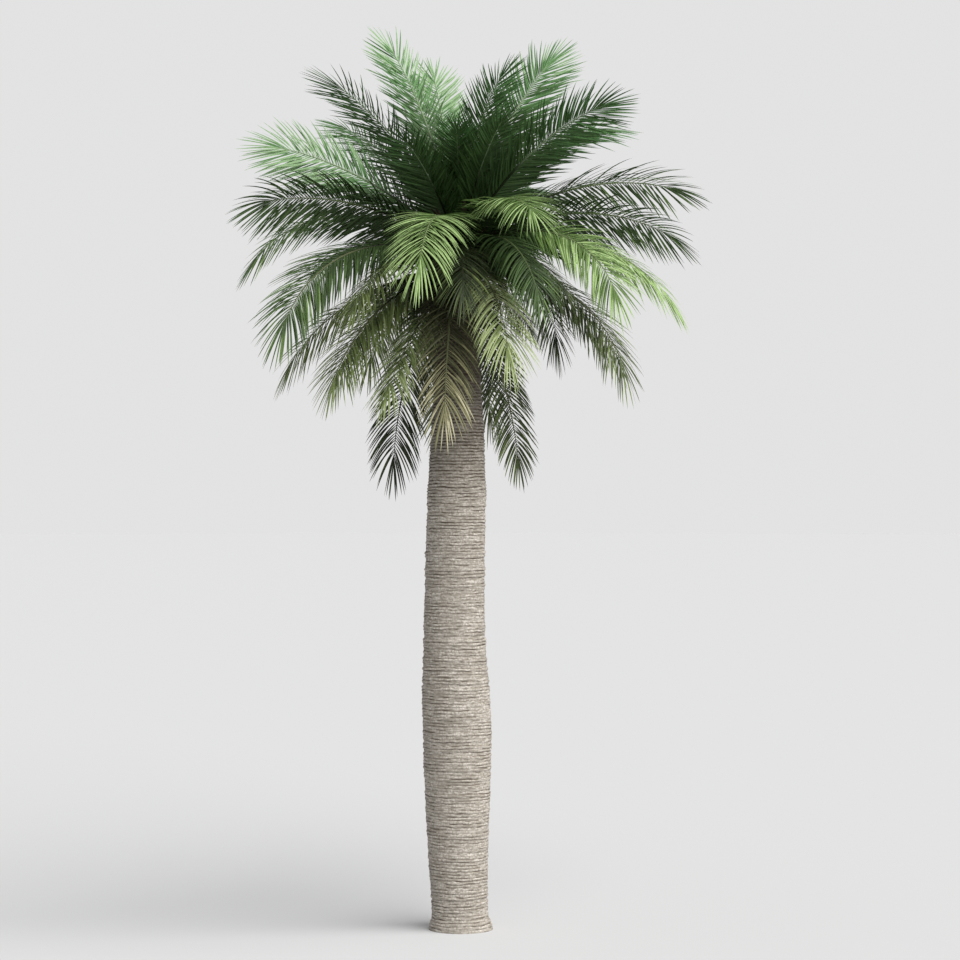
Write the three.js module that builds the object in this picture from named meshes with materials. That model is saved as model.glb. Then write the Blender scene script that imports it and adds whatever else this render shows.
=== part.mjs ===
// A feather palm rooted in the ground: one thick, slightly bellied trunk that carries a round
// crown of arching fronds. Millimetres, +Z up. The origin is the middle of the flat cut under
// the trunk, at ground level. +X is to the right of someone who looks along +Y.
//
// Each frond is a thin blade of its own outline, folded along its rib like an open book. Its
// section is a flat four-cornered arrowhead: two knife edges, with the thicker rib between.

import * as THREE from "three";

// ---------------------------------------------------------------- driving dimensions

const GAP = 0.3; // clearance between pieces that touch

const BARK = 0x9b9083;
const YOUNG_LEAF = 0x24552a;
const OLD_LEAF = 0x7d7c45;

// The trunk from the ground to the growing tip: height, radius, and how far the middle of
// the section stands aside (+X) from the middle of the foot.
const TRUNK_SIDES = 48;
const TRUNK = [
  { z: 0, radius: 480, aside: 0 },
  { z: 60, radius: 468, aside: -2 },
  { z: 180, radius: 430, aside: -8 },
  { z: 320, radius: 420, aside: -15 },
  { z: 700, radius: 432, aside: -35 },
  { z: 1150, radius: 455, aside: -42 },
  { z: 1700, radius: 475, aside: -50 },
  { z: 2250, radius: 500, aside: -54 },
  { z: 2800, radius: 512, aside: -55 },
  { z: 3300, radius: 515, aside: -65 },
  { z: 3700, radius: 500, aside: -82 },
  { z: 4100, radius: 475, aside: -95 },
  { z: 4700, radius: 452, aside: -100 },
  { z: 5600, radius: 446, aside: -88 },
  { z: 6500, radius: 440, aside: -64 },
  { z: 7100, radius: 416, aside: -55 },
  { z: 7600, radius: 390, aside: -52 },
  { z: 8200, radius: 352, aside: -54 },
  { z: 8900, radius: 320, aside: -58 },
  { z: 9600, radius: 300, aside: -52 },
  { z: 10100, radius: 270, aside: -42 },
  { z: 10500, radius: 215, aside: -32 },
  { z: 10850, radius: 130, aside: -24 },
  { z: 11050, radius: 45, aside: -20 },
];

// A frond's blade, as shares of its length, and the sizes that all fronds have in common.
const BLADE = {
  stalk: 0.04, // the bare stalk ends here
  widest: 0.4,
  halfWidth: 480, // at the widest place, for a frond of the common length
  commonLength: 3400,
  stalkHalfWidth: 45,
  tipHalfWidth: 60,
  ribAtFoot: 60, // thickness of the blade along its rib
  ribAtTip: 9,
  clear: 25, // how far off its seat the stalk's first whole section stands
  steps: 14,
  ribPieces: 60, // straight pieces that the rib's line is added up from
  bend: 0.52, // where a split frond is divided
  rolledBy: 0.5, // the share of the length by which the blade has its full roll
  bendPower: 1.3, // over 1: the frond bends more and more towards its tip
};

// Every frond, from the youngest in the middle of the crown to the oldest under it.
//   azimuth  the way it grows, seen from above: 0 is +X, 90 is +Y, in degrees
//   foot     the height on the trunk where it grows out
//   rise     the angle above the horizontal at which it starts
//   droop    how far it has turned down by its tip
//   length   along the rib, from the trunk's skin to the tip
//   roll     how far the blade twists about its rib
//   split    true where it bends round a wide gap and is made as two halves
const FRONDS = [
  { name: "upright_1", azimuth: 301.5, foot: 10800, rise: 78, droop: 52, length: 2550, roll: 0 },
  { name: "upright_2", azimuth: 102.5, foot: 10800, rise: 55, droop: 9, length: 3350, roll: 0 },
  { name: "upright_3", azimuth: 138, foot: 10750, rise: 73, droop: 26, length: 3400, roll: -12 },
  { name: "upright_4", azimuth: 41, foot: 10720, rise: 63.5, droop: 22, length: 3500, roll: 32 },
  { name: "upright_5", azimuth: 268, foot: 10820, rise: 66, droop: 40, length: 1600, roll: 0 },
  { name: "upper_1", azimuth: 21, foot: 10540, rise: 59, droop: 69, length: 3300, roll: 20 },
  { name: "upper_2", azimuth: 220, foot: 10600, rise: 53, droop: 35, length: 3350, roll: 0 },
  { name: "upper_3", azimuth: 325, foot: 10500, rise: 50, droop: 43, length: 3400, roll: -35 },
  { name: "upper_4", azimuth: 143, foot: 10537, rise: 51, droop: 35, length: 3150, roll: -10 },
  { name: "upper_5", azimuth: 240, foot: 10480, rise: 52, droop: 30, length: 2100, roll: 10 },
  { name: "upper_6", azimuth: 298, foot: 10600, rise: 60, droop: 30, length: 2100, roll: 0 },
  { name: "upper_7", azimuth: 84, foot: 10500, rise: 49, droop: 50, length: 3300, roll: 2 },
  { name: "upper_8", azimuth: 62, foot: 10450, rise: 38, droop: 60, length: 3400, roll: 15 },
  { name: "upper_9", azimuth: 168, foot: 10400, rise: 40, droop: 34, length: 3500, roll: -52 },
  { name: "middle_1", azimuth: 205, foot: 10300, rise: 26, droop: 48, length: 3450, roll: 45 },
  { name: "middle_2", azimuth: 11, foot: 10400, rise: 34, droop: 59, length: 3900, roll: -32 },
  { name: "middle_3", azimuth: 346, foot: 10300, rise: 24, droop: 69, length: 3650, roll: -38 },
  { name: "middle_4", azimuth: 177, foot: 10200, rise: 34, droop: 107, length: 3650, roll: -25,
    split: true },
  { name: "middle_5", azimuth: 12.5, foot: 10150, rise: 18, droop: 88, length: 3920, roll: 25,
    split: true },
  { name: "middle_6", azimuth: 328, foot: 10200, rise: 22, droop: 116, length: 3400, roll: 40,
    split: true },
  { name: "middle_7", azimuth: 260, foot: 10300, rise: 22, droop: 98, length: 3600, roll: 0,
    split: true },
  { name: "middle_8", azimuth: 291, foot: 10300, rise: 29, droop: 74, length: 3370, roll: 5,
    split: true },
  { name: "middle_9", azimuth: 295, foot: 10200, rise: 13, droop: 94, length: 3300, roll: 0,
    split: true },
  { name: "middle_10", azimuth: 112, foot: 10350, rise: 25, droop: 65, length: 3400, roll: -15 },
  { name: "middle_11", azimuth: 70, foot: 10300, rise: 20, droop: 70, length: 3400, roll: 15 },
  { name: "middle_12", azimuth: 36, foot: 10320, rise: 24, droop: 75, length: 3500, roll: 10 },
  { name: "middle_13", azimuth: 147, foot: 10250, rise: 14, droop: 52, length: 2700, roll: -15 },
  { name: "middle_14", azimuth: 272, foot: 10040, rise: 16, droop: 95, length: 2900, roll: 0 },
  { name: "middle_15", azimuth: 236.5, foot: 10050, rise: 4.5, droop: 70, length: 3100, roll: 15 },
  { name: "middle_16", azimuth: 312, foot: 10080, rise: 5, droop: 60, length: 2500, roll: -10 },
  { name: "low_1", azimuth: 218, foot: 10100, rise: 12, droop: 100, length: 4000, roll: -32,
    split: true },
  { name: "low_2", azimuth: 52, foot: 10000, rise: 13, droop: 115, length: 3300, roll: 10,
    split: true },
  { name: "low_3", azimuth: 335, foot: 9950, rise: -5, droop: 83, length: 3600, roll: 18,
    split: true },
  { name: "low_4", azimuth: 165, foot: 9900, rise: -10, droop: 60, length: 3350, roll: -40 },
  { name: "low_5", azimuth: 127, foot: 9800, rise: 0, droop: 90, length: 3000, roll: 20,
    split: true },
  { name: "low_6", azimuth: 219, foot: 9880, rise: -21, droop: 57, length: 3250, roll: -20 },
  { name: "low_7", azimuth: 287, foot: 9900, rise: -4, droop: 80, length: 3250, roll: -5 },
  { name: "low_8", azimuth: 95, foot: 9950, rise: 0, droop: 75, length: 3300, roll: 0 },
  { name: "low_9", azimuth: 20, foot: 9950, rise: -8, droop: 65, length: 3300, roll: -10 },
  { name: "low_10", azimuth: 242, foot: 9640, rise: -32, droop: 30, length: 2950, roll: 10 },
  { name: "hanging_1", azimuth: 266, foot: 9895, rise: -28, droop: 52, length: 3750, roll: 5,
    split: true },
  { name: "hanging_2", azimuth: 127.5, foot: 9700, rise: -46, droop: 51, length: 3650, roll: 34 },
  { name: "hanging_3", azimuth: 63, foot: 9700, rise: -42, droop: 42, length: 3850, roll: -15 },
  { name: "hanging_4", azimuth: 97, foot: 9680, rise: -35, droop: 55, length: 3300, roll: 0 },
  { name: "hanging_5", azimuth: 77, foot: 9750, rise: -25, droop: 60, length: 3300, roll: 0 },
  { name: "hanging_6", azimuth: 146, foot: 9720, rise: -14, droop: 60, length: 2900, roll: -15 },
  { name: "hanging_7", azimuth: 48, foot: 9780, rise: -14, droop: 39, length: 1800, roll: 10 },
];

// ---------------------------------------------------------------- small helpers

const radians = THREE.MathUtils.degToRad;
const { lerp, clamp, smoothstep } = THREE.MathUtils;
const { cos, sin } = Math;

// A skin over rings of equally many points, with a flat end at each end, faces out. The
// diagonals lean to and fro, so that those on the two faces of a thin, twisted blade match.
function skin(rings) {
  const sides = rings[0].length;
  const points = rings.flat().flatMap((point) => point.toArray());
  const faces = [];
  for (let ring = 0; ring + 1 < rings.length; ring++) {
    for (let side = 0; side < sides; side++) {
      const here = ring * sides + side;
      const next = ring * sides + ((side + 1) % sides);
      const [a, b] = side % 2 ? [next, here + sides] : [here, next + sides];
      faces.push(here, next, b, a, next + sides, here + sides);
    }
  }
  const last = (rings.length - 1) * sides;
  for (let side = 1; side + 1 < sides; side++) {
    faces.push(0, side + 1, side);
    faces.push(last, last + side, last + side + 1);
  }
  const geometry = new THREE.BufferGeometry();
  geometry.setAttribute("position", new THREE.Float32BufferAttribute(points, 3));
  geometry.setIndex(faces);
  return geometry;
}

// ---------------------------------------------------------------- trunk

function trunkRings() {
  return TRUNK.map(({ z, radius, aside }) => {
    const ring = [];
    for (let side = 0; side < TRUNK_SIDES; side++) {
      const turn = (2 * Math.PI * side) / TRUNK_SIDES;
      ring.push(new THREE.Vector3(aside + radius * cos(turn), radius * sin(turn), z));
    }
    return ring;
  });
}

// The two of the trunk's rings that a height lies between.
function ringsAround(height) {
  const upper = TRUNK.findIndex(({ z }) => z >= height);
  return [TRUNK[upper - 1], TRUNK[upper]];
}

// The trunk's radius and the place of its middle at a height.
function trunkAt(height) {
  const [a, b] = ringsAround(height);
  const share = (height - a.z) / (b.z - a.z);
  return { radius: lerp(a.radius, b.radius, share), aside: lerp(a.aside, b.aside, share) };
}

// ---------------------------------------------------------------- fronds

// The flat seat that a stalk ends on: the plane that lies along the trunk's skin on the side
// where the frond grows out, a gap clear of it.
function seatOf(frond) {
  const turn = radians(frond.azimuth);
  const corner = (2 * Math.PI) / TRUNK_SIDES;
  const toCorner = turn - Math.round(turn / corner) * corner;
  const reach = ({ radius, aside }) => aside * cos(turn) + radius * cos(toCorner);
  const [a, b] = ringsAround(frond.foot);
  const lean = Math.atan2(reach(a) - reach(b), b.z - a.z);
  const normal = new THREE.Vector3(cos(turn), sin(turn), 0)
    .multiplyScalar(cos(lean))
    .setZ(sin(lean));
  return { normal, distance: reach(a) * cos(lean) + a.z * sin(lean) + GAP };
}

// The rib's line: for a share of the length, its place and its slope in its upright plane.
function ribLine(frond) {
  const line = [];
  const piece = frond.length / BLADE.ribPieces;
  let { out, up } = { out: trunkAt(frond.foot).radius, up: frond.foot };
  for (let index = 0; index <= BLADE.ribPieces; index++) {
    const share = index / BLADE.ribPieces;
    const slope = radians(frond.rise - frond.droop * share ** BLADE.bendPower);
    line.push({ out, up, slope });
    out += piece * cos(slope);
    up += piece * sin(slope);
  }
  return (share) => {
    const place = share * BLADE.ribPieces;
    const index = Math.min(Math.floor(place), BLADE.ribPieces - 1);
    const [a, b] = [line[index], line[index + 1]];
    return {
      out: lerp(a.out, b.out, place - index),
      up: lerp(a.up, b.up, place - index),
      slope: lerp(a.slope, b.slope, place - index),
    };
  };
}

// Half the blade's width at a share of its length.
function halfWidth(frond, share) {
  const { stalk, widest, stalkHalfWidth, tipHalfWidth } = BLADE;
  const full = (BLADE.halfWidth * frond.length) / BLADE.commonLength;
  if (share < widest) {
    return lerp(stalkHalfWidth, full, smoothstep(share, stalk, widest));
  }
  const past = (share - widest) / (1 - widest);
  return lerp(full, tipHalfWidth, past ** 2.6);
}

// How far the two halves of the blade are folded from flat, below zero for down: the
// leaflets of an old frond hang more than those of a young one.
function foldAngle(frond) {
  return radians(clamp(frond.rise * 0.45 - 40, -48, -10));
}

// Young fronds are deep green, and old ones are straw-olive.
function leafColour(frond) {
  const age = clamp((60 - frond.rise) / 90, 0, 1);
  return new THREE.Color(YOUNG_LEAF).lerp(new THREE.Color(OLD_LEAF), age);
}

// The way the rib runs where it has a slope.
function directionAt(frond, slope) {
  const turn = radians(frond.azimuth);
  return new THREE.Vector3(cos(turn) * cos(slope), sin(turn) * cos(slope), sin(slope));
}

// One section across the blade: the margin on one side, the top of the rib, the other
// margin, the underside of the rib.
function bladeSection(frond, rib, share) {
  const { out, up, slope } = rib(share);
  const turn = radians(frond.azimuth);
  const outward = new THREE.Vector3(cos(turn), sin(turn), 0);
  const along = directionAt(frond, slope);
  const side = new THREE.Vector3(-sin(turn), cos(turn), 0);
  const upward = new THREE.Vector3().crossVectors(along, side);
  const roll = radians(frond.roll) * clamp(share / BLADE.rolledBy, 0, 1);
  side.applyAxisAngle(along, roll);
  upward.applyAxisAngle(along, roll);

  const middle = outward.multiplyScalar(out).setZ(up);
  middle.x += trunkAt(frond.foot).aside;
  const wide = halfWidth(frond, share);
  const thick = lerp(BLADE.ribAtFoot, BLADE.ribAtTip, share ** 0.6) / 2;
  const fold = foldAngle(frond) * smoothstep(share, 0, BLADE.widest);
  const corner = (aside, raised) =>
    middle.clone().addScaledVector(side, aside).addScaledVector(upward, raised);
  return [
    corner(wide * cos(fold), wide * sin(fold)),
    corner(0, thick),
    corner(-wide * cos(fold), wide * sin(fold)),
    corner(0, -thick),
  ];
}

// The sections of a blade between two shares of its length.
function bladeRings(frond, from, to, steps) {
  const rib = ribLine(frond);
  const rings = [];
  for (let step = 0; step <= steps; step++) {
    rings.push(bladeSection(frond, rib, lerp(from, to, step / steps)));
  }
  return rings;
}

// The same from the foot on. The first ring lies on the seat: each corner of the stalk runs
// straight back until it meets the seat. The next one is the first that stands clear of it.
function seatedRings(frond, to, steps) {
  const { normal, distance } = seatOf(frond);
  const along = directionAt(frond, radians(frond.rise));
  const foot = bladeSection(frond, ribLine(frond), 0);
  const short = foot.map((corner) => distance - normal.dot(corner));
  const speed = normal.dot(along);
  const first = foot.map((corner, index) =>
    corner.clone().addScaledVector(along, short[index] / speed));
  const from = (Math.max(...short) + BLADE.clear) / speed / frond.length;
  return [first, ...bladeRings(frond, from, to, steps - 1)];
}

// The stretches of a frond that are blades of their own: one, or two that meet face to face
// at the bend, with the gap between them.
function stretches(frond) {
  const { steps, bend } = BLADE;
  if (!frond.split) {
    return [{ suffix: "", rings: seatedRings(frond, 1, steps) }];
  }
  const halfGap = GAP / 2 / frond.length;
  return [
    { suffix: "_inner", rings: seatedRings(frond, bend - halfGap, steps / 2) },
    { suffix: "_outer", rings: bladeRings(frond, bend + halfGap, 1, steps / 2) },
  ];
}

// ---------------------------------------------------------------- the palm

const group = new THREE.Group();

function addMesh(name, geometry, color, roughness) {
  const material = new THREE.MeshStandardMaterial({ color, roughness, metalness: 0 });
  const mesh = new THREE.Mesh(geometry, material);
  mesh.name = name;
  group.add(mesh);
}

addMesh("trunk", skin(trunkRings()), BARK, 0.9);
for (const frond of FRONDS) {
  for (const { suffix, rings } of stretches(frond)) {
    addMesh(`frond_${frond.name}${suffix}`, skin(rings), leafColour(frond), 0.55);
  }
}

export default group;
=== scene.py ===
# %% [markdown]
# # A feather palm, from its trunk to its leaflets
# A palm has no branches. One thick stem carries a single crown of fronds, and each frond is a
# long rib with two rows of narrow leaflets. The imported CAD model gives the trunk's solid and a
# thin blade for every frond. This lesson grows the real surfaces in the same places: a ringed
# trunk, the ribs, and some ten thousand leaflets joined into a few meshes.

# %% Load the frame
import math

import bmesh
import bpy
import numpy as np
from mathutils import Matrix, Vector, noise


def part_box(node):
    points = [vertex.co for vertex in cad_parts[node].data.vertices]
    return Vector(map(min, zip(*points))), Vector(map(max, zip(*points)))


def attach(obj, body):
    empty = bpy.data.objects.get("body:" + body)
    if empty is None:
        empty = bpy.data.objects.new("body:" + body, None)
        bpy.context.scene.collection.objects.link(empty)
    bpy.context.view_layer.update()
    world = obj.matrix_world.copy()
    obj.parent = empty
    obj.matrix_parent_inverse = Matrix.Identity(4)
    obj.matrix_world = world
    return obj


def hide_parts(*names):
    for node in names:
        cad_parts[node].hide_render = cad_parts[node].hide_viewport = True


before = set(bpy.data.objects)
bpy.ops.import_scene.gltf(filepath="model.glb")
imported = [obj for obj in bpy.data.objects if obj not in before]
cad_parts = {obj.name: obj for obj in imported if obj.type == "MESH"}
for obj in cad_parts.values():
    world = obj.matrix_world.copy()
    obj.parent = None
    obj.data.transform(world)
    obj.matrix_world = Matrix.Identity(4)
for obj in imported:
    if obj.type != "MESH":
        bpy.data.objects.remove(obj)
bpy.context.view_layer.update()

# %% [markdown]
# ## Camera
# The tree is 13.7 m tall, so it is looked at from 40 m away through a long lens, at half its
# height. The camera stays level: a tall thing seen by a tilted camera would lean.

# %% Camera
VIEW_FROM = (0.285, -40, 6.73)   # a little right of the trunk, in front of it, and up
LENS = 100                       # millimetres, on film 36 mm wide
FILM = 36
camera_data = bpy.data.cameras.new("camera")
camera_data.lens = LENS
camera_data.sensor_width = FILM
camera_data.clip_end = 1000
camera = bpy.data.objects.new("camera", camera_data)
camera.location = VIEW_FROM
camera.rotation_euler = (math.pi / 2, 0, 0)
bpy.context.scene.collection.objects.link(camera)
bpy.context.scene.camera = camera
print("the camera looks level from", -VIEW_FROM[1], "m away")

# %% [markdown]
# ## Studio
# The studio is a pale floor, a pale sky that lights from every side, and one soft sun from the
# right. The sky has two strengths. One gives the light, and the other is what the camera sees
# behind the tree, chosen to match the lit floor.

# %% Three small helpers
def link(name, mesh):
    """A mesh datablock shown as an object at the origin."""
    piece = bpy.data.objects.new(name, mesh)
    bpy.context.scene.collection.objects.link(piece)
    return piece


def to_mesh(name, bm):
    """A finished bmesh as an object."""
    mesh = bpy.data.meshes.new(name)
    bm.to_mesh(mesh)
    bm.free()
    return link(name, mesh)


def srgb(red, green, blue):
    """A colour as a paint chart gives it, 0 to 255, turned into Blender's linear light."""
    def linear(value):
        value /= 255
        return value / 12.92 if value <= 0.04045 else ((value + 0.055) / 1.055) ** 2.4
    return (linear(red), linear(green), linear(blue), 1.0)


print("middle grey in linear light is", round(srgb(128, 128, 128)[0], 3))

# %% Floor
FLOOR_RADIUS = 300
FLOOR_GREY = (0.601, 0.607, 0.619, 1)
bm = bmesh.new()
bmesh.ops.create_circle(bm, cap_ends=True, segments=96, radius=FLOOR_RADIUS)
floor = to_mesh("floor", bm)
floor_paint = bpy.data.materials.new("floor_paint")
floor_paint.use_nodes = True
floor_shader = floor_paint.node_tree.nodes["Principled BSDF"]
floor_shader.inputs["Base Color"].default_value = FLOOR_GREY
floor_shader.inputs["Roughness"].default_value = 0.9
floor.data.materials.append(floor_paint)
print("the floor is", 2 * FLOOR_RADIUS, "m across")

# %% Sky
FILL = 0.42          # light from all round, as bright as this grey
WALL = 0.765         # the pale grey seen behind the tree
world = bpy.data.worlds.new("sky")
world.use_nodes = True
studio = world.node_tree
fill = studio.nodes["Background"]
fill.inputs["Color"].default_value = (1, 1, 1, 1)
fill.inputs["Strength"].default_value = FILL
wall = studio.nodes.new("ShaderNodeBackground")
wall.inputs["Color"].default_value = (WALL, WALL, WALL, 1)
seen = studio.nodes.new("ShaderNodeLightPath")
either = studio.nodes.new("ShaderNodeMixShader")
studio.links.new(seen.outputs["Is Camera Ray"], either.inputs[0])
studio.links.new(fill.outputs[0], either.inputs[1])
studio.links.new(wall.outputs[0], either.inputs[2])
studio.links.new(either.outputs[0], studio.nodes["World Output"].inputs["Surface"])
bpy.context.scene.world = world
print("the sky lights at", FILL, "and is seen at", WALL)

# %% Sun
SUN = 4.1
SUN_WIDTH = 70       # degrees: a large soft lamp, so the shadow on the floor is faint
SUN_COLOUR = (1.0, 0.985, 0.96)
SUN_FROM = (0.62, -0.50, 0.72)
sun_data = bpy.data.lights.new("sun", "SUN")
sun_data.energy = SUN
sun_data.angle = math.radians(SUN_WIDTH)
sun_data.color = SUN_COLOUR
sun = bpy.data.objects.new("sun", sun_data)
sun.rotation_euler = Vector(SUN_FROM).to_track_quat("Z", "Y").to_euler()
bpy.context.scene.collection.objects.link(sun)
bpy.context.scene.view_settings.view_transform = "Standard"
print("the sun is", SUN_WIDTH, "degrees wide")

# %% [markdown]
# ## How the palm grows
# The CAD model was grown from two short tables, and the same tables are used here in metres.
# The first is the trunk: its height, its radius, and how far its middle stands aside. The
# second has one row for each frond. A frond leaves the trunk at a height and an angle, and
# bends down more and more towards its tip. Growing both models from the same numbers is what
# keeps them together without any fitting.

# %% The trunk's table
TRUNK = np.array([  # height, radius, aside
    (0.00, 0.480, 0.000), (0.06, 0.468, -0.002), (0.18, 0.430, -0.008),
    (0.32, 0.420, -0.015), (0.70, 0.432, -0.035), (1.15, 0.455, -0.042),
    (1.70, 0.475, -0.050), (2.25, 0.500, -0.054), (2.80, 0.512, -0.055),
    (3.30, 0.515, -0.065), (3.70, 0.500, -0.082), (4.10, 0.475, -0.095),
    (4.70, 0.452, -0.100), (5.60, 0.446, -0.088), (6.50, 0.440, -0.064),
    (7.10, 0.416, -0.055), (7.60, 0.390, -0.052), (8.20, 0.352, -0.054),
    (8.90, 0.320, -0.058), (9.60, 0.300, -0.052), (10.10, 0.270, -0.042),
    (10.50, 0.215, -0.032), (10.85, 0.130, -0.024), (11.05, 0.045, -0.020),
])
TOP = TRUNK[-1, 0]
print("the stem is", TOP, "m tall")

# %% The fronds' table
# Azimuth 0 is +X and 90 is +Y. Rise is the angle above level at the foot, droop is how far the
# frond turns down by its tip, and roll is its twist about the rib, all in degrees. Paleness
# runs from 0, deep, to 1, sunlit, and a frond has its full paleness from the share of its
# length called lit. Paleness is partly the frond's own colour and partly painted light and
# shade: painted shade deep in the crown and on fronds turned from the sun, and painted light
# on sunlit tips.
KEYS = ("name", "azimuth", "foot", "rise", "droop", "length", "roll", "paleness", "lit")
FRONDS = [
    ("upright_1", 301.5, 10.80, 78, 52, 2.55, 0, 0.62, 0.95),
    ("upright_2", 102.5, 10.80, 55, 9, 3.35, 0, 0.95, 0.8),
    ("upright_3", 138, 10.75, 73, 26, 3.40, -12, 0.85, 0.95),
    ("upright_4", 41, 10.72, 63.5, 22, 3.5, 32, 0.75, 0.95),
    ("upright_5", 268, 10.82, 66, 40, 1.6, 0, 0.5, 0.95),
    ("upper_1", 21, 10.54, 59, 69, 3.30, 20, 0.6, 0.95),
    ("upper_2", 220, 10.60, 53, 35, 3.35, 0, 0.43, 0.95),
    ("upper_3", 325, 10.50, 50, 43, 3.40, -35, 0.55, 0.95),
    ("upper_4", 143, 10.537, 51, 35, 3.15, -10, 0.55, 0.95),
    ("upper_5", 240, 10.48, 52, 30, 2.1, 10, 0.35, 0.95),
    ("upper_6", 298, 10.60, 60, 30, 2.1, 0, 0.35, 0.95),
    ("upper_7", 84, 10.50, 49, 50, 3.30, 2, 0.5, 0.95),
    ("upper_8", 62, 10.45, 38, 60, 3.40, 15, 0.5, 0.95),
    ("upper_9", 168, 10.40, 40, 34, 3.50, -52, 0.9, 0.7),
    ("middle_1", 205, 10.30, 26, 48, 3.45, 45, 0.32, 0.9),
    ("middle_2", 11, 10.40, 34, 59, 3.90, -32, 0.45, 0.9),
    ("middle_3", 346, 10.30, 24, 69, 3.65, -38, 0.45, 0.9),
    ("middle_4", 177, 10.20, 34, 107, 3.65, -25, 0.5, 0.9),
    ("middle_5", 12.5, 10.15, 18, 88, 3.92, 25, 0.86, 0.68),
    ("middle_6", 328, 10.20, 22, 116, 3.40, 40, 0.82, 0.62),
    ("middle_7", 260, 10.30, 22, 98, 3.6, 0, 0.86, 0.45),
    ("middle_8", 291, 10.30, 29, 74, 3.37, 5, 0.74, 0.45),
    ("middle_9", 295, 10.20, 13, 94, 3.30, 0, 0.36, 0.9),
    ("middle_10", 112, 10.35, 25, 65, 3.40, -15, 0.5, 0.9),
    ("middle_11", 70, 10.30, 20, 70, 3.40, 15, 0.5, 0.9),
    ("middle_12", 36, 10.32, 24, 75, 3.50, 10, 0.5, 0.9),
    ("middle_13", 147, 10.25, 14, 52, 2.7, -15, 0.4, 0.9),
    ("middle_14", 272, 10.04, 16, 95, 2.9, 0, 0.25, 0.9),
    ("middle_15", 236.5, 10.05, 4.5, 70, 3.1, 15, 0.55, 0.45),
    ("middle_16", 312, 10.08, 5, 60, 2.5, -10, 0.25, 0.9),
    ("low_1", 218, 10.10, 12, 100, 4.0, -32, 0.44, 0.9),
    ("low_2", 52, 10.00, 13, 115, 3.30, 10, 0.3, 0.9),
    ("low_3", 335, 9.95, -5, 83, 3.60, 18, 0.46, 0.9),
    ("low_4", 165, 9.90, -10, 60, 3.35, -40, 0.6, 0.42),
    ("low_5", 127, 9.80, 0, 90, 3.00, 20, 0.7, 0.34),
    ("low_6", 219, 9.88, -21, 57, 3.25, -20, 0.64, 0.38),
    ("low_7", 287, 9.90, -4, 80, 3.25, -5, 0.88, 0.5),
    ("low_8", 95, 9.95, 0, 75, 3.30, 0, 0.65, 0.9),
    ("low_9", 20, 9.95, -8, 65, 3.30, -10, 0.5, 0.9),
    ("low_10", 242, 9.64, -32, 30, 2.95, 10, 0.8, 0.38),
    ("hanging_1", 266, 9.895, -28, 52, 3.75, 5, 0.85, 1.1),
    ("hanging_2", 127.5, 9.70, -46, 51, 3.65, 34, 0.22, 0.9),
    ("hanging_3", 63, 9.70, -42, 42, 3.85, -15, 0.5, 0.9),
    ("hanging_4", 97, 9.68, -35, 55, 3.30, 0, 0.5, 0.9),
    ("hanging_5", 77, 9.75, -25, 60, 3.30, 0, 0.5, 0.9),
    ("hanging_6", 146, 9.72, -14, 60, 2.90, -15, 0.6, 0.34),
    ("hanging_7", 48, 9.78, -14, 39, 1.8, 10, 0.4, 0.9),
]
FRONDS = [dict(zip(KEYS, row)) for row in FRONDS]
print(len(FRONDS), "fronds")

# %% Two helpers for curves
def smoothstep(x, low, high):
    """0 below low, 1 above high, and a soft S between."""
    t = np.clip((x - low) / (high - low), 0, 1)
    return t * t * (3 - 2 * t)


def trunk_at(height):
    """The stem's radius at a height, and how far its middle stands aside."""
    return (np.interp(height, TRUNK[:, 0], TRUNK[:, 1]),
            np.interp(height, TRUNK[:, 0], TRUNK[:, 2]))


print("the stem's radius on the ground is", float(trunk_at(0)[0]), "m")

# %% Following a rib
BEND_POWER = 1.3   # over 1: a frond bends more and more towards its tip
ROLLED_BY = 0.5    # the share of its length by which a frond has its full roll
RIB_STEPS = 60     # straight steps that a rib's curve is added up from
UP = np.array([0.0, 0.0, 1.0])


def along_rib(frond, shares):
    """At shares of a frond's length: its place, and three directions of length one that stand
    square to each other, along the rib, to its side, and out of its upper face."""
    ends = np.linspace(0, 1, RIB_STEPS + 1)
    slope = np.radians(frond["rise"] - frond["droop"] * ends ** BEND_POWER)
    step = frond["length"] / RIB_STEPS
    out = np.append(0, np.cumsum(step * np.cos(slope[:-1])))
    up = np.append(0, np.cumsum(step * np.sin(slope[:-1])))
    inside = np.minimum(shares, 0) * frond["length"]  # before its foot it runs straight back
    slope_here = np.interp(shares, ends, slope)
    radius, aside = trunk_at(frond["foot"])
    reach = radius + np.interp(shares, ends, out) + inside * np.cos(slope_here)
    height = frond["foot"] + np.interp(shares, ends, up) + inside * np.sin(slope_here)

    turn = math.radians(frond["azimuth"])
    outward = np.array([math.cos(turn), math.sin(turn), 0.0])
    place = reach[:, None] * outward + height[:, None] * UP
    place[:, 0] += aside
    along = np.cos(slope_here)[:, None] * outward + np.sin(slope_here)[:, None] * UP
    side = np.array([-math.sin(turn), math.cos(turn), 0.0]) + 0 * along
    face = np.cross(along, side)
    roll = math.radians(frond["roll"]) * np.clip(shares / ROLLED_BY, 0, 1)[:, None]
    return (place, along, side * np.cos(roll) + face * np.sin(roll),
            face * np.cos(roll) - side * np.sin(roll))


print("the first frond's tip is at", along_rib(FRONDS[0], np.array([1.0]))[0][0].round(2))

# %% Do the ribs follow the CAD blades?
furthest = 0.0
for frond in FRONDS:
    tip = along_rib(frond, np.array([1.0]))[0][0]
    outermost = (f"frond_{frond['name']}", f"frond_{frond['name']}_outer")
    nodes = [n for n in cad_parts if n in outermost]
    low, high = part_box(nodes[0])
    furthest = max(furthest, max(max(low[i] - tip[i], tip[i] - high[i]) for i in range(3)))
print(f"the tips lie within {max(furthest, 0) * 1000:.1f} mm of the CAD blades' boxes")

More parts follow.
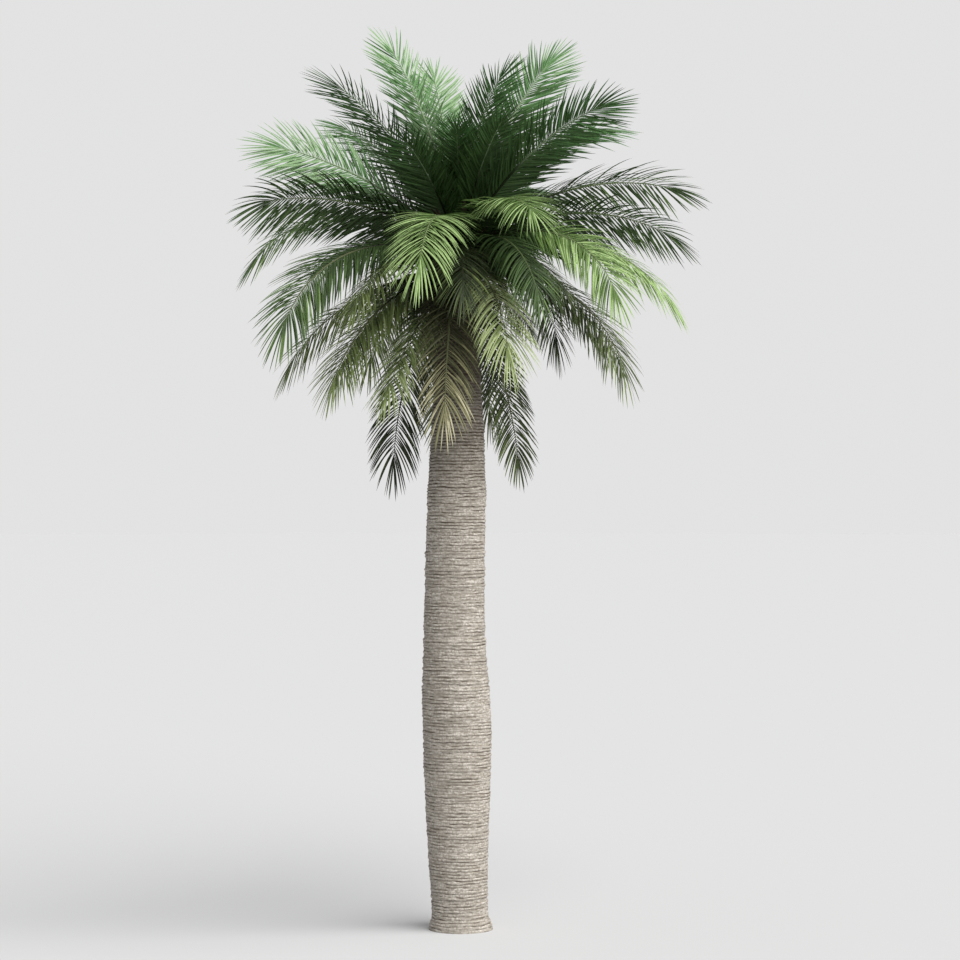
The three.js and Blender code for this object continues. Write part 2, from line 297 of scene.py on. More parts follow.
# %% [markdown]
# ## The ringed trunk
# Each fallen frond leaves a scar right round the stem, so an old trunk is ringed from top to
# bottom, about every 5 cm. The rings are not perfect: they wave, run into each other and
# break. Bump alone would leave a smooth outline, so the rings are real relief. The trunk
# starts as a plain cylinder, its upright edges are cut into about a thousand rows, and every
# point is then moved onto the palm's own outline, plus the relief. How deep each point lies in
# a groove is kept on the mesh as an attribute, which the bark's colour reads later.

# %% Rows of points round the trunk
COLUMNS = 88
ROWS_BELOW, ROWS_ABOVE = 1000, 50   # close rows as far as the rings show, wide ones above
RINGED_TO = 9.6


def upright_edges(bm):
    """The edges that run from a new cylinder's foot to its top."""
    return [e for e in bm.edges if abs(e.verts[0].co.z - e.verts[1].co.z) > 0.5]


bm = bmesh.new()
bmesh.ops.create_cone(bm, cap_ends=True, segments=COLUMNS, radius1=1, radius2=1, depth=1)
bmesh.ops.subdivide_edges(bm, edges=upright_edges(bm), cuts=ROWS_BELOW + ROWS_ABOVE - 1,
                          use_grid_fill=False)
points = np.array([v.co for v in bm.verts])
row = np.rint((points[:, 2] + 0.5) * (ROWS_BELOW + ROWS_ABOVE))
height = np.where(row <= ROWS_BELOW, row / ROWS_BELOW * RINGED_TO,
                  RINGED_TO + (row - ROWS_BELOW) / ROWS_ABOVE * (TOP - RINGED_TO))
turn = np.arctan2(points[:, 1], points[:, 0])
print(len(points), "points on the trunk")

# %% Noise round the trunk
MEAN_RADIUS = 0.45   # of the stem, so that the noise is as large round it as up it
NOISE_GAIN = 1.6     # brings the noise to about -1 to 1


def rumple(scale, stretch=1.0, seed=0.0):
    """Smooth noise at the trunk's points. A stretch over 1 draws it out round the trunk."""
    spots = zip(np.cos(turn) * MEAN_RADIUS / (scale * stretch) + seed,
                np.sin(turn) * MEAN_RADIUS / (scale * stretch) - seed, height / scale)
    return np.array([noise.noise(Vector(s)) for s in spots]) * NOISE_GAIN


wave = (0.22 * rumple(0.34, stretch=1.8, seed=3.1)
        + 0.16 * rumple(0.08, stretch=1.4, seed=7.7))
breaks = (0.85 + 0.5 * rumple(0.07, stretch=5.0, seed=12.3)
          + 0.5 * rumple(0.05, stretch=1.2, seed=5.5))
lumps = rumple(0.45, seed=21.0)
print(f"the rings wave by up to {np.abs(wave).max():.2f} of a ring")

# %% Rings, waves and breaks
RING = 0.048                   # from one scar to the next
RING_DEPTH = 0.012
RING_EDGE = 2.6                # over 1: a broad back, with a narrow groove on each side
RING_LEVEL = 0.8               # the share of a ring's depth that lies under the plain outline
LEDGE = 0.006                  # how far one ring may stand out past the next
LUMP = 0.006
MOST_RINGS = 260
FAINTEST, DEEPEST = 0.05, 1.6
YOUNG_DEEPER = 0.65            # the young rings are cut this much deeper
OLD_TO, YOUNG_FROM = 5.6, 7.1  # old rings lie below the first height, young above the second
FADE_FROM, FADE_TO = RINGED_TO - 0.3, RINGED_TO + 0.1
RNG = np.random.default_rng(11)

count = height / RING + wave
phase = count % 1.0
ridge = 1 - np.abs(2 * phase - 1) ** RING_EDGE
ledges = RNG.normal(0, 1, MOST_RINGS)
ledge = ledges[np.clip(np.floor(count), 0, MOST_RINGS - 1).astype(int)]
deeper = 1 + YOUNG_DEEPER * smoothstep(height, OLD_TO, YOUNG_FROM)
strength = np.clip(breaks, FAINTEST, DEEPEST) * deeper
fade = 1 - smoothstep(height, FADE_FROM, FADE_TO)
relief = (fade * (strength * RING_DEPTH * (ridge - RING_LEVEL) + LEDGE * ledge * ridge)
          + LUMP * lumps)
relief[height < 1e-6] = 0   # the foot stays a plain circle on the ground
print(f"the relief runs from {relief.min() * 1000:.0f} to {relief.max() * 1000:.0f} mm")

# %% The trunk's mesh
def keep_on_points(piece, name, values):
    """One number for each point of a piece, as an attribute that a material can read."""
    attribute = piece.data.attributes.new(name, "FLOAT", "POINT")
    attribute.data.foreach_set("value", values.astype(np.float32))


radius, aside = trunk_at(height)
radius += relief
placed = np.stack([aside + radius * np.cos(turn), radius * np.sin(turn), height], axis=1)
for vertex, spot in zip(bm.verts, placed):
    vertex.co = spot
trunk = to_mesh("ringed_trunk", bm)
for polygon in trunk.data.polygons:
    polygon.use_smooth = len(polygon.vertices) < 5
keep_on_points(trunk, "groove", np.clip((1 - ridge) * strength * fade, 0, 1))
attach(trunk, "root")
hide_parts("trunk")
print(len(trunk.data.polygons), "faces on the trunk")

# %% [markdown]
# ## Bark
# Old palm bark is a weathered beige-grey, with dark lines in the grooves. Two pale tints
# are mixed in stains as wide as a hand. Noise of three other sizes then darkens the corky
# speckle, the fine upright fissures and the fibres that run round, and the groove attribute
# draws the dark lines. Under the crown the stem is darkened to brown, partly because it is young
# and still dark brown, and partly as painted shade where the crown's shadow falls. Only the cork
# is also given to the bump, because the rings are real relief.

# %% A material and its nodes
def new_material(name, roughness, shine):
    """A node material, its shader, and helpers that add one node and one link."""
    material = bpy.data.materials.new(name)
    material.use_nodes = True
    tree = material.node_tree
    shader = tree.nodes["Principled BSDF"]
    shader.inputs["Roughness"].default_value = roughness
    shader.inputs["Specular IOR Level"].default_value = shine

    def node(kind, **settings):
        made = tree.nodes.new(kind)
        for key, value in settings.items():
            if key in made.inputs:
                made.inputs[key].default_value = value
            else:
                setattr(made, key, value)
        return made

    return material, shader, node, tree.links.new


print("a helper for new materials")

# %% Helpers that add a few nodes each
def mixed(node, wire, factor, first, second):
    """A colour mix. Factor and both colours may be sockets or values."""
    mix = node("ShaderNodeMix", data_type="RGBA")
    for socket, value in ((mix.inputs[0], factor), (mix.inputs[6], first),
                          (mix.inputs[7], second)):
        if isinstance(value, bpy.types.NodeSocket):
            wire(value, socket)
        else:
            socket.default_value = value
    return mix.outputs[2]


def noise_on(node, wire, scale, stretch=(1, 1, 1), detail=4):
    """Noise on the piece's own coordinates, stretched along its axes."""
    place = node("ShaderNodeTexCoord")
    mapping = node("ShaderNodeMapping", Scale=stretch)
    texture = node("ShaderNodeTexNoise", Scale=scale, Detail=detail)
    wire(place.outputs["Object"], mapping.inputs["Vector"])
    wire(mapping.outputs[0], texture.inputs["Vector"])
    return texture.outputs["Fac"]


def ranged(node, wire, value, low, high, to_low=0.0, to_high=1.0):
    """A value's range stretched to another, and held at its ends."""
    changed = node("ShaderNodeMapRange")
    wire(value, changed.inputs[0])
    for index, number in enumerate((low, high, to_low, to_high), start=1):
        changed.inputs[index].default_value = number
    return changed.outputs[0]


def kept(node, name):
    """An attribute of the piece's points, as a value."""
    return node("ShaderNodeAttribute", attribute_name=name).outputs["Fac"]


def roughened(node, wire, shader, value, strength, distance):
    """Bump from a value."""
    bump = node("ShaderNodeBump", Strength=strength, Distance=distance)
    wire(value, bump.inputs["Height"])
    wire(bump.outputs[0], shader.inputs["Normal"])


print("five helpers for nodes")

# %% Bark material
CLEAN, STAINED = (217, 211, 203), (201, 195, 187)
CORK, FISSURE, FIBRE = (150, 143, 133), (132, 123, 109), (140, 133, 123)
# The young bark's brown is also painted shade: under the crown the stem is darkened to it partly as
# young bark and partly as the crown's shadow.
GROOVE, YOUNG_BARK_AND_SHADE = (74, 62, 50), (44, 37, 27)
TURNS_FROM, TURNS_TO = 6.4, 8.3   # between these heights the bark turns dark
DARK_SHARE = 0.93

bark, shader, node, wire = new_material("weathered_bark", 0.88, 0.2)
stain = noise_on(node, wire, scale=1.6, stretch=(1, 1, 1.4))
stain = ranged(node, wire, stain, 0.35, 0.68)
cork = noise_on(node, wire, scale=26, stretch=(1, 1, 1.5), detail=6)
cork = ranged(node, wire, cork, 0.34, 0.60)
fissure = noise_on(node, wire, scale=30, stretch=(3, 3, 0.7), detail=3)
fissure = ranged(node, wire, fissure, 0.50, 0.72)
fibre = noise_on(node, wire, scale=14, stretch=(0.35, 0.35, 5.0), detail=5)
fibre = ranged(node, wire, fibre, 0.36, 0.60)
groove = ranged(node, wire, kept(node, "groove"), 0.2, 1.0)
surface = mixed(node, wire, stain, srgb(*CLEAN), srgb(*STAINED))
surface = mixed(node, wire, cork, srgb(*CORK), surface)
surface = mixed(node, wire, fissure, surface, srgb(*FISSURE))
surface = mixed(node, wire, fibre, srgb(*FIBRE), surface)
surface = mixed(node, wire, groove, surface, srgb(*GROOVE))
place = node("ShaderNodeTexCoord")
split = node("ShaderNodeSeparateXYZ")
wire(place.outputs["Object"], split.inputs[0])
# From TURNS_FROM up, the bark darkens towards young brown bark mixed with painted shade of the
# crown.
young = ranged(node, wire, split.outputs["Z"], TURNS_FROM, TURNS_TO, 0.0, DARK_SHARE)
wire(mixed(node, wire, young, surface, srgb(*YOUNG_BARK_AND_SHADE)), shader.inputs["Base Color"])
roughened(node, wire, shader, cork, strength=0.5, distance=0.004)
trunk.data.materials.append(bark)
print(len(bark.node_tree.nodes), "nodes in the bark")

# %% [markdown]
# ## Ribs
# A frond's rib is a stiff, slightly flattened rod. It is broad where it clasps the trunk, and
# tapers to a thread at its last leaflets. All the ribs are alike but for size, so one rod
# is modelled and then laid along each frond's line. The rod is a cone from an operator, with
# rows cut into it. Copies as separate objects would be slow, so the points of all copies are
# worked out together and joined into one mesh for each age of frond. Inside the crown a rib is
# painted dark, as painted shade, and further out it is pale. How much painted shade it has is
# kept on the mesh as an attribute, so the material can let one tint run into the other.

# %% A rod to copy
RIB_SIDES, RIB_ROWS = 8, 26


def template(bm):
    """A bmesh as two arrays: its points, and its triangles."""
    bmesh.ops.triangulate(bm, faces=bm.faces)
    bm.verts.ensure_lookup_table()
    points = np.array([v.co for v in bm.verts])
    faces = np.array([[v.index for v in f.verts] for f in bm.faces])
    bm.free()
    return points, faces


bm = bmesh.new()
bmesh.ops.create_cone(bm, cap_ends=True, segments=RIB_SIDES, radius1=1, radius2=1, depth=1)
bmesh.ops.subdivide_edges(bm, edges=upright_edges(bm), cuts=RIB_ROWS - 1)
bm.verts.index_update()
rod_points, rod_faces = template(bm)
rod_along = rod_points[:, 2] + 0.5   # 0 at the rod's foot and 1 at its tip
print(len(rod_faces), "faces in the rod")

# %% Ages, and copies joined
AGES = {"young": ("upright", "upper"), "grown": ("middle",), "old": ("low", "hanging")}


def age_of(frond):
    """Which age a frond is, by its name."""
    kind = frond["name"].split("_")[0]
    return next(age for age, kinds in AGES.items() if kind in kinds)


def nodes_of(age):
    """The CAD blades of one age."""
    return [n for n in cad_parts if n.startswith("frond_") and n.split("_")[1] in AGES[age]]


def joined(name, copies):
    """One object from (points, faces) pairs. Points that no face uses are left out."""
    points, faces, start = [], [], 0
    for some_points, some_faces in copies:
        points.append(some_points)
        faces.append(some_faces + start)
        start += len(some_points)
    mesh = bpy.data.meshes.new(name)
    points, faces = np.concatenate(points), np.concatenate(faces)
    used, place = np.unique(faces, return_inverse=True)
    mesh.from_pydata(points[used], [], place.reshape(faces.shape))
    mesh.validate()
    return link(name, mesh)


def shade_smooth(piece):
    """Smooth shading on every face."""
    for polygon in piece.data.polygons:
        polygon.use_smooth = True


print({age: len(nodes_of(age)) for age in AGES}, "CAD blades")

# %% A rib's shape
COMMON_LENGTH = 3.4   # of a frond
RIB_ENDS = 0.85       # the share of the frond's length at which its rib ends
BEHIND = 0.035        # the share of its length by which a rib reaches back into the trunk
CLOSER = 1.25         # over 1: the rod's rows are closer near the trunk
SUNK = 0.35           # the share of its thickness by which a rib lies under the leaflets
RIB_STOPS = (-0.04, 0.0, 0.05, 0.12, 0.5, RIB_ENDS)
RIB_WIDE = (0.085, 0.072, 0.042, 0.026, 0.013, 0.003)
RIB_THICK = (0.034, 0.030, 0.024, 0.019, 0.011, 0.003)
# The rib's dark tint inside the crown is painted shade, which fades out between these shares.
RIB_SHADE_FADES = (0.30, 0.50)   # inside the crown the rib is dark, and pales between these
SHADED = 0.3                 # a frond no paler than this stands all in the shade
rod_share = rod_along ** CLOSER * (RIB_ENDS + BEHIND) - BEHIND


def rib_points(frond):
    """The rod laid along a frond's line."""
    place, along, side, face = along_rib(frond, rod_share)
    size = frond["length"] / COMMON_LENGTH
    wide = size * np.interp(rod_share, RIB_STOPS, RIB_WIDE)
    thick = size * np.interp(rod_share, RIB_STOPS, RIB_THICK)
    return (place + side * (rod_points[:, 0] * wide)[:, None]
            + face * (rod_points[:, 1] * thick - SUNK * thick)[:, None])


def rib_painted_shade(frond):
    """How much painted shade darkens the rib at each point of the rod, from 1 by the trunk to 0."""
    if frond["paleness"] <= SHADED:
        return np.ones(len(rod_share))
    return 1 - smoothstep(rod_share, *RIB_SHADE_FADES)


print("a common rib is", round(COMMON_LENGTH * RIB_ENDS, 2), "m long")

# %% Laying the ribs
ribs = {}
for age in AGES:
    fronds = [f for f in FRONDS if age_of(f) == age]
    piece = joined(f"{age}_ribs", [(rib_points(f), rod_faces) for f in fronds])
    shade_smooth(piece)
    # The depth attribute is how much painted shade darkens the rib.
    keep_on_points(piece, "depth", np.concatenate([rib_painted_shade(f) for f in fronds]))
    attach(piece, "root")
    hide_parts(*nodes_of(age))
    ribs[age] = piece
    print(piece.name, len(piece.data.polygons), "faces")

# %% [markdown]
# ## Leaf bases
# Under the living fronds the stem is wrapped in the stubs of those that fell last. They stand
# up and out, broad where they clasp the stem, and are brown and dull. Each is the same rod laid
# on a short line of its own. The turn from one stub to the next is the one by which leaves
# really grow, so that no two of them stand one above the other.

# %% Stubs round the top of the stem
STUBS = 140
STUBS_FROM, STUBS_TO = 9.25, 10.75
GOLDEN_TURN = 137.508
STUB_LENGTHS = (0.48, 0.76)
SHORTER = 0.36                    # the share of its length that the lowest stub has lost
STUB_RISE, LOWER = 56, 22         # degrees, and how many of them the lowest stub has lost
RISE_SPREAD = 5
STUB_DROOP, DROOP_SPREAD = 8, 8
STUB_WIDE = ([0, 0.3, 1], [0.105, 0.065, 0.018])
STUB_FLAT = 0.35
ROOTED = 0.1                      # the share of a stub or a spear that is inside the stem


def laid(line, wide, flat):
    """The rod laid on a line of its own. Flat is its thickness as a share of its width."""
    place, along, side, face = along_rib(line, rod_along * (1 + ROOTED) - ROOTED)
    return (place + side * (rod_points[:, 0] * wide)[:, None]
            + face * (rod_points[:, 1] * wide * flat)[:, None])


def stub_points(index):
    """One stub, the lower ones shorter and more level."""
    age = 1 - index / (STUBS - 1)
    line = dict(azimuth=index * GOLDEN_TURN, foot=STUBS_TO + (STUBS_FROM - STUBS_TO) * age,
                rise=STUB_RISE - LOWER * age + RNG.normal(0, RISE_SPREAD),
                droop=RNG.normal(STUB_DROOP, DROOP_SPREAD), roll=0,
                length=RNG.uniform(*STUB_LENGTHS) * (1 - SHORTER * age))
    return laid(line, np.interp(rod_along, *STUB_WIDE), STUB_FLAT)


stubs = joined("leaf_bases", [(stub_points(i), rod_faces) for i in range(STUBS)])
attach(stubs, "root")
print(STUBS, "leaf bases,", len(stubs.data.polygons), "faces")

# %% [markdown]
# ## Spears
# At the very top the next fronds stand closed, like spears. Each is one thick rod, and the
# inner ones lean together over the tip of the stem, so that nobody looks down on bare wood.

# %% Closed fronds over the tip
SPEARS = 9
SPEAR_FOOT, SINKS = 10.97, 0.02     # the first spear's, and the change from one to the next
SPEAR_LENGTH, SHRINKS = 1.05, 0.06
SPEAR_RISE, LEANS_OUT = 96, 2.2
SPEAR_DROOP = 4
SPEAR_WIDE = ([0, 0.35, 0.8, 1], [0.036, 0.044, 0.024, 0.004])
SPEAR_FLAT = 0.6


def spear_points(index):
    """One spear. The later ones are shorter, and lean out more."""
    line = dict(azimuth=index * GOLDEN_TURN, foot=SPEAR_FOOT - SINKS * index,
                rise=SPEAR_RISE - LEANS_OUT * index, droop=SPEAR_DROOP, roll=0,
                length=SPEAR_LENGTH - SHRINKS * index)
    return laid(line, np.interp(rod_along, *SPEAR_WIDE), SPEAR_FLAT)


spears = joined("spears", [(spear_points(i), rod_faces) for i in range(SPEARS)])
shade_smooth(spears)
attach(spears, "root")
print(SPEARS, "spears,", len(spears.data.polygons), "faces")

# %% [markdown]
# ## Leaflets
# A leaflet is a narrow blade, folded along its middle, that tapers to a point. A frond has
# from 140 to nearly 300 of them, so the blade has only a few faces. It comes from an operator's
# grid two faces wide and seven long, whose last row is drawn together into the tip. As with
# the ribs, the points of every copy are worked out with arrays and joined.

# %% A leaflet to copy
LEAFLET_ROWS = 7
bm = bmesh.new()
bmesh.ops.create_grid(bm, x_segments=2, y_segments=LEAFLET_ROWS, size=1)
tip_points = [v for v in bm.verts if v.co.y > 0.999]
bmesh.ops.scale(bm, vec=(0, 1, 1), verts=tip_points)
bmesh.ops.remove_doubles(bm, verts=tip_points, dist=1e-4)
bm.verts.index_update()
blade_points, blade_faces = template(bm)
blade_across = blade_points[:, 0]
blade_row = np.rint((blade_points[:, 1] + 1) / 2 * LEAFLET_ROWS).astype(int)
print(len(blade_faces), "faces in a leaflet")

# %% [markdown]
# ## Growing the leaflets along a rib
# The leaflets near the trunk are short and stand well out. The longest are in the middle, and
# towards the tip they point more and more forwards, until the last ones end in a fan. Each
# side of the frond is folded a little, like a book, and old leaflets sag. A leaflet's middle
# line starts in its own direction and is then bent, row by row, forwards and down. Small
# random changes, drawn from one seeded source, keep the rows from looking combed. No two
# fronds of a real crown are equally full, so some have a number and a length of their own.

# %% How many leaflets, and how long
FIRST, LAST = 0.025, 0.845     # shares of the frond's length where its leaflets begin and end
CROWDED = 1.2                  # over 1: they stand closer near the trunk
PER_SIDE = {"young": 114, "grown": 116, "old": 94}   # leaflets on one side of a frond
OWN_COUNT = {  # fronds that are fuller or thinner than others of their age
    "upper_3": 136, "upper_8": 122, "upper_9": 134, "upright_4": 134, "middle_1": 138,
    "middle_5": 132, "low_1": 144, "upper_2": 96, "middle_2": 92, "middle_4": 86,
    "hanging_1": 88, "hanging_2": 84, "low_3": 82, "low_9": 70}
REACH = {  # fronds whose leaflets are longer or shorter than most
    "middle_7": 1.16, "middle_8": 1.08, "middle_1": 1.18, "upper_9": 1.16, "upright_4": 1.10,
    "upper_3": 1.07, "low_1": 1.06, "middle_4": 0.94, "low_7": 1.12, "hanging_3": 0.80}


def count_of(frond):
    """Leaflets on one side of a frond."""
    return OWN_COUNT.get(frond["name"], PER_SIDE[age_of(frond)])


print(2 * sum(count_of(f) for f in FRONDS), "leaflets")

# %% How a leaflet changes along the frond
# Each pair of lists is a graph: places, and the values there. The places run from 0, the first
# leaflet of a frond, to 1, its last, or are the frond's rise in degrees.
LEAFLET_LENGTH = 0.77             # the longest, on a frond of the common length
LONG_AT = ([0, 0.10, 0.35, 0.6, 0.85, 1], [0.55, 0.84, 1, 1, 0.94, 0.80])
LEAFLET_HALF_WIDTH = 0.0135
LONGER, BROADER = 0.4, 0.5        # powers of a frond's size by which its leaflets are larger
WIDE_AT = ([0, 0.35, 0.65, 1], [1.36, 1.22, 0.96, 0.86])
RAKE_AT = ([0, 0.3, 0.7, 0.91, 1], [60, 55, 51, 48, 6])   # degrees away from the rib
RAKE_BY_RISE = ([30, 60], [1, 0.86])
SAG_BY_RISE = ([-20, 15, 35, 39], [0.46, 0.42, 0.30, 0.14])
RAISED, DROPPED = 6, -15          # degrees: leaflets lie in two layers, one above the other
FORWARDS, DOWNWARDS = 0.35, 1.6   # how a leaflet bends on its way out
FOLDED = 0.35                     # how far its edges stand back from its middle
WIDTH_ALONG = np.interp(np.linspace(0, 1, LEAFLET_ROWS + 1),
                        [0, 0.08, 0.25, 0.5, 0.75, 0.92, 1], [0.4, 0.75, 1, 0.94, 0.66, 0.3, 0])
print("a leaflet's half width by row, in mm", np.round(WIDTH_ALONG * LEAFLET_HALF_WIDTH * 1000, 1))

# %% How unlike the leaflets are
# Each number is the spread of a random change: in place, as a share of the way to the next
# leaflet, in length and width, as shares, and in angles, as degrees.
PLACE_SPREAD, LENGTH_SPREAD, WIDTH_SPREAD = 0.14, 0.05, 0.06
RAKE_SPREAD, FOLD_SPREAD = 3.0, 6.0
TWIST, TWIST_SPREAD = 12, 10
print("nine leaflets in ten are within", round(1.64 * LENGTH_SPREAD * 100), "% of the usual length")

# %% Middle lines
def unit(vectors):
    """Directions at length one."""
    return vectors / np.linalg.norm(vectors, axis=-1, keepdims=True)


def middle_lines(frond, sign, place, along, side, face, rake, fold, length):
    """Each leaflet's middle line, its heading at each row, and the direction across it."""
    sag = np.interp(frond["rise"], *SAG_BY_RISE)
    sideways = sign * side * np.cos(fold) + face * np.sin(fold)
    start = along * np.cos(rake) + sideways * np.sin(rake)
    crosswise = (along * np.sin(rake) - sideways * np.cos(rake))[:, None]
    line, heading = [place], []
    for index in range(LEAFLET_ROWS):
        done = (index + 0.5) / LEAFLET_ROWS
        heading.append(unit(start + FORWARDS * done * along - DOWNWARDS * sag * done * UP))
        line.append(line[-1] + heading[-1] * (length / LEAFLET_ROWS)[:, None])
    heading.append(heading[-1])
    line, heading = np.stack(line, 1), np.stack(heading, 1)
    across = unit(crosswise - heading * (crosswise * heading).sum(-1, keepdims=True))
    return line, heading, across


print("a middle line has", LEAFLET_ROWS + 1, "points")

# %% One side of a frond
def grow_leaflets(frond, sign):
    """The points of every leaflet on one side of a frond, with each leaflet's place from
    first to last, 0 to 1."""
    count = count_of(frond)
    size = frond["length"] / COMMON_LENGTH
    k = (np.arange(count) + RNG.uniform(-PLACE_SPREAD, PLACE_SPREAD, count)) / (count - 1)
    k = np.clip(k, 0, 1)
    share = FIRST + (LAST - FIRST) * k ** CROWDED
    place, along, side, face = along_rib(frond, share)

    length = (LEAFLET_LENGTH * size ** LONGER * REACH.get(frond["name"], 1)
              * RNG.normal(1, LENGTH_SPREAD, count) * np.interp(k, *LONG_AT))
    rake = np.radians(np.interp(k, *RAKE_AT) * np.interp(frond["rise"], *RAKE_BY_RISE)
                      + RNG.normal(0, RAKE_SPREAD, count))[:, None]
    fold = np.where(np.arange(count) % 2, RAISED, DROPPED)
    fold = np.radians(fold + RNG.normal(0, FOLD_SPREAD, count))[:, None]
    line, heading, across = middle_lines(frond, sign, place, along, side, face, rake, fold, length)

    out = np.cross(heading, across) * -sign
    twist = RNG.normal(math.radians(TWIST), math.radians(TWIST_SPREAD), count)[:, None, None]
    across, out = (across * np.cos(twist) + out * np.sin(twist),
                   out * np.cos(twist) - across * np.sin(twist))
    broader = np.interp(k, *WIDE_AT) * RNG.normal(1, WIDTH_SPREAD, count)
    half = LEAFLET_HALF_WIDTH * size ** BROADER * WIDTH_ALONG[None, :] * broader[:, None]
    half = half[..., None][:, blade_row]
    to_edge = across[:, blade_row] * blade_across[None, :, None]
    set_back = FOLDED * out[:, blade_row] * np.abs(blade_across)[None, :, None]
    return line[:, blade_row] + (to_edge - set_back) * half, k


print("leaflets stand", RAKE_AT[1][0], "degrees out by the trunk and", RAKE_AT[1][-1], "at the tip")

# %% [markdown]
# ## Dealing out the leaf colours, with painted light and shade
# A crown is never one green. The heart of a young frond is deep and its tip is pale, the
# fronds in their prime are a fresh yellow-green where the sun reaches them, and the oldest
# turn olive, then dry to straw. The ages and the drying are the leaves' own colour. The deep
# heart is mostly painted shade, and the pale tips and the sunlit yellow-green are mostly
# painted light. These colours have a place on the tree. Each leaflet is therefore dealt to one
# of the four plain tints of its frond's look, by how pale the frond is and how far out the
# leaflet stands. Its lower part may be dealt a darker tint than the rest, as painted shade from
# its neighbours. All that have one tint become one mesh.

# %% Tints
# Within each look the four tones are lit and shaded copies of its green: shade and deep paint the
# crown's shade on it, and fresh and pale paint the sunlight.
TINTS = {
    "young": {"shade": (58, 84, 44), "deep": (70, 102, 57), "fresh": (90, 132, 78),
              "pale": (144, 176, 130)},
    "grown": {"shade": (58, 78, 43), "deep": (76, 100, 57), "fresh": (104, 132, 72),
              "pale": (158, 186, 122)},
    "old": {"shade": (47, 57, 33), "deep": (80, 92, 56), "fresh": (116, 132, 78),
            "pale": (164, 178, 126)},
    "dry": {"shade": (60, 60, 42), "deep": (88, 89, 63), "fresh": (134, 132, 98),
            "pale": (184, 180, 148)},
}
TONES = ("shade", "deep", "fresh", "pale")
# The old look of middle_14, middle_15 and middle_16 is partly painted shade: these fillers stand
# deep in the crown's shade.
LOOKS = {"hanging_1": "dry", "middle_14": "old", "middle_15": "old", "middle_16": "old",
         "low_1": "grown"}   # fronds that look older or younger than their age
# INNER and PALES_FROM paint light and shade along a frond. By the trunk a frond keeps only a small
# share of its paleness, as painted shade of the crown's heart, and from PALES_FROM to its lit share
# it pales, as painted light.
INNER = 0.12         # the share of its paleness that a frond has by the trunk
PALES_FROM = 0.2     # where a frond begins to pale
# The change of tone from leaflet to leaflet is partly the leaflets' own unlike colour and partly
# painted glints of single leaflets that catch the light.
FLECKS_AND_GLINTS = 0.10        # how much the tone changes from leaflet to leaflet
BASE_DARKER = 0.13   # a leaflet's lower part is in the shade of its neighbours
BASE_ENDS = 0.38     # and this is how much of it that part is
is_base = blade_row[blade_faces].mean(1) < BASE_ENDS * LEAFLET_ROWS
print(len(TINTS) * len(TONES), "tints")

# %% Dealing the leaflets
heaps = {(look, tint): [] for look in TINTS for tint in TINTS[look]}
for frond in FRONDS:
    look = LOOKS.get(frond["name"], age_of(frond))
    for sign in (1, -1):
        sheets, k = grow_leaflets(frond, sign)
        # Painted shade by the trunk, rising to painted light at the frond's lit share.
        spread = INNER + (1 - INNER) * smoothstep(k, PALES_FROM, frond["lit"])
        tone = frond["paleness"] * spread + RNG.normal(0, FLECKS_AND_GLINTS, len(k))
        faces = blade_faces if sign > 0 else blade_faces[:, ::-1]
        for part, shift in ((faces[is_base], BASE_DARKER), (faces[~is_base], 0)):
            steps = np.clip((tone - shift) * len(TONES), 0, len(TONES) - 0.01).astype(int)
            for sheet, step in zip(sheets, steps):
                heaps[look, TONES[step]].append((sheet, part))
print(sum(len(heap) for heap in heaps.values()), "parts of leaflets dealt")

# %% Sixteen meshes of leaflets
leaflets = {}
for (look, tint), heap in heaps.items():
    piece = joined(f"{look}_leaflets_{tint}", heap)
    age = "old" if look == "dry" else look
    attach(piece, "root")
    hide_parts(*nodes_of(age))
    leaflets[look, tint] = piece
    print(piece.name, len(heap), "parts,", len(piece.data.polygons), "faces")

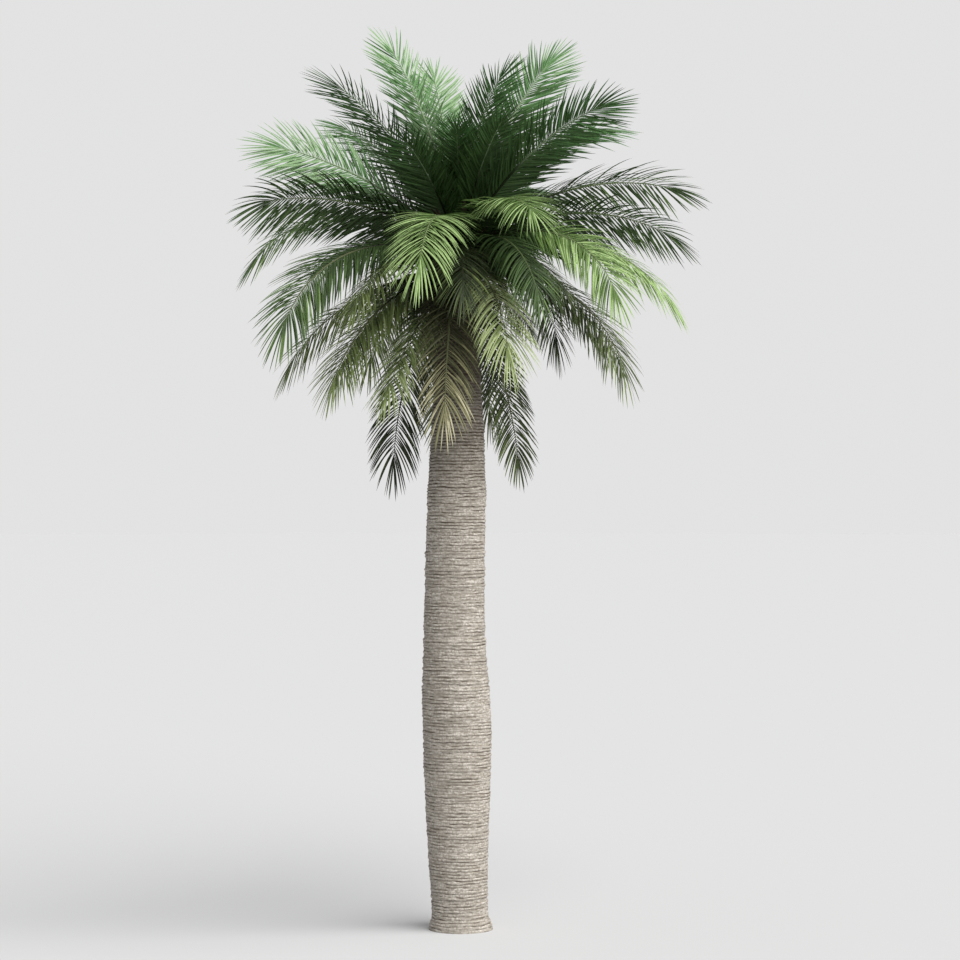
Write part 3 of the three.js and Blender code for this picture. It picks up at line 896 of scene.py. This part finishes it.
# %% [markdown]
# ## Leaf and rib finish
# A leaflet is smooth and a little waxy, so it has a soft shine. Its tint is plain but for a
# faint mottle, which noise gives at the size of a fingertip, and the same noise moves the
# roughness. The ribs get the same mottle in a paler tint, and a dark tint of painted shade where
# their attribute asks for it. Stubs and spears are mottled too, each in a tint of its own.

# %% One finish for all that grows
LEAF_SHINE = 0.22
ROUGHNESS_MOVES = 0.08


def mottled(name, colour, amount, scale, roughness, deep=None):
    """A plain tint with a faint mottle in colour, roughness and bump. A second tint, painted
    shade on a rib, comes in where the piece's depth attribute is 1."""
    material, shader, node, wire = new_material(name, roughness, LEAF_SHINE)
    darker = tuple(c * (1 - amount) for c in colour[:3]) + (1,)
    spots = ranged(node, wire, noise_on(node, wire, scale), 0.35, 0.65)
    surface = mixed(node, wire, spots, darker, colour)
    if deep:
        surface = mixed(node, wire, kept(node, "depth"), surface, deep)
    wire(surface, shader.inputs["Base Color"])
    wire(ranged(node, wire, spots, 0, 1, roughness - ROUGHNESS_MOVES,
                roughness + ROUGHNESS_MOVES), shader.inputs["Roughness"])
    roughened(node, wire, shader, spots, strength=0.15, distance=0.002)
    return material


print("a leaf's shine is", LEAF_SHINE)

# %% Leaf, rib, stub and spear materials
RIB_TINTS = {"young": (126, 146, 110), "grown": (106, 122, 80), "old": (92, 98, 66)}
# Painted shade: the dark tint of the ribs inside the crown.
RIB_SHADE_TINT = (26, 34, 14)
STUB_TINT = (68, 62, 44)
SPEAR_TINT = (84, 112, 62)

for (look, tint), piece in leaflets.items():
    piece.data.materials.append(mottled(f"{look}_leaf_{tint}", srgb(*TINTS[look][tint]),
                                        amount=0.22, scale=28, roughness=0.44))
for age, piece in ribs.items():
    piece.data.materials.append(mottled(f"{age}_rib", srgb(*RIB_TINTS[age]), amount=0.3,
                                        scale=16, roughness=0.5, deep=srgb(*RIB_SHADE_TINT)))
spears.data.materials.append(mottled("spear", srgb(*SPEAR_TINT), amount=0.3, scale=16,
                                     roughness=0.5))
stubs.data.materials.append(mottled("leaf_base", srgb(*STUB_TINT), amount=0.45, scale=24,
                                    roughness=0.8))
print(len(bpy.data.materials), "materials")
